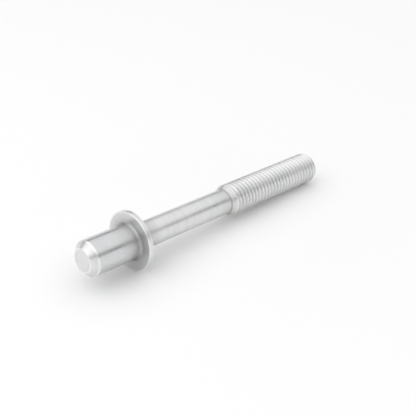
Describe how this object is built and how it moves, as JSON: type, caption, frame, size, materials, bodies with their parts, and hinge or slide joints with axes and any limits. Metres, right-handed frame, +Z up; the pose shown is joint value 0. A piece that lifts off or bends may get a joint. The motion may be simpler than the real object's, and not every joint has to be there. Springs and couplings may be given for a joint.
{
  "type": "collared threaded stud",
  "caption": "Turned steel stud with a plain chamfered spigot, a thin seating collar, a waisted shank and a long metric threaded end.",
  "frame": {"origin": "centre of the collar's seat face, on the stud's axis", "axes": "+X along the stud towards its threaded end, which leans 3 degrees below +X because the stud lies on its collar and its end; +Z up; +Y to the side"},
  "size_m": [0.0968, 0.018, 0.0181],
  "materials": {
    "steel": "pale satin turned steel with fine lathe marks, a ground spigot and a thin film of oil"
  },
  "bodies": {
    "root": {"stud": "steel"}
  },
  "joints": []
}
